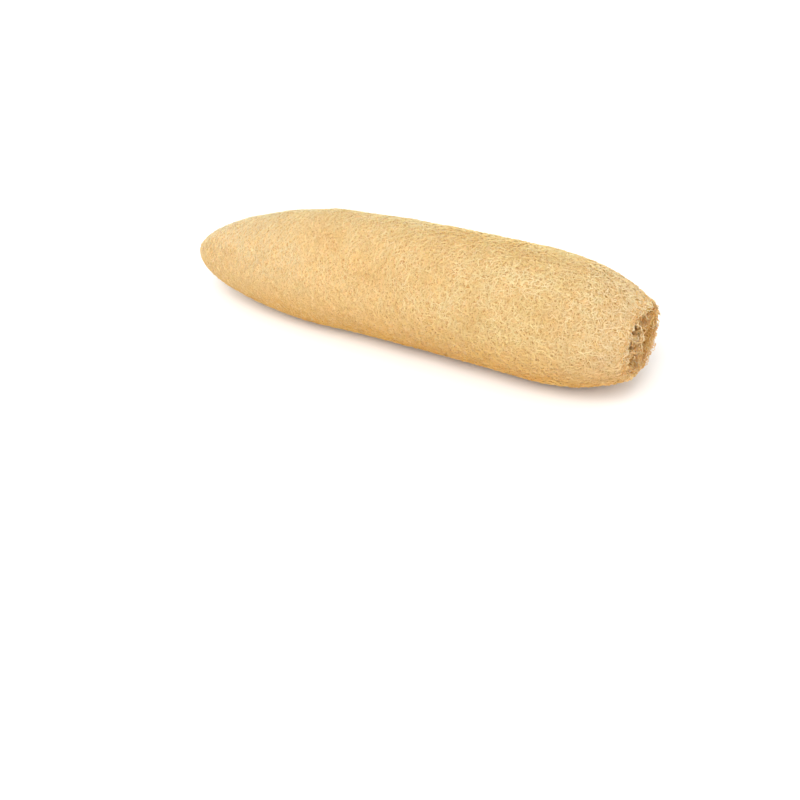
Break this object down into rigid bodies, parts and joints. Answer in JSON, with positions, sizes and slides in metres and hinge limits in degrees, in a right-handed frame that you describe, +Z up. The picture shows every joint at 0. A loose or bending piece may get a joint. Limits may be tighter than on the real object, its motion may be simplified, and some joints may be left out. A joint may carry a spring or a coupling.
{
  "type": "natural loofah sponge",
  "caption": "Whole dried loofah gourd skeleton: a long fibrous bath sponge with a rounded tip, a straight knife-cut end and seed channels that open in the cut.",
  "frame": {"origin": "middle of the footprint of the lying sponge, on the surface it lies on", "axes": "+X runs along the sponge from the closed, rounded tip to the cut end, +Z is up"},
  "size_m": [0.3072, 0.0844, 0.0796],
  "materials": {
    "dry_fibre": "matte"
  },
  "bodies": {
    "root": {"loofah_sponge": "dry_fibre"}
  },
  "joints": []
}
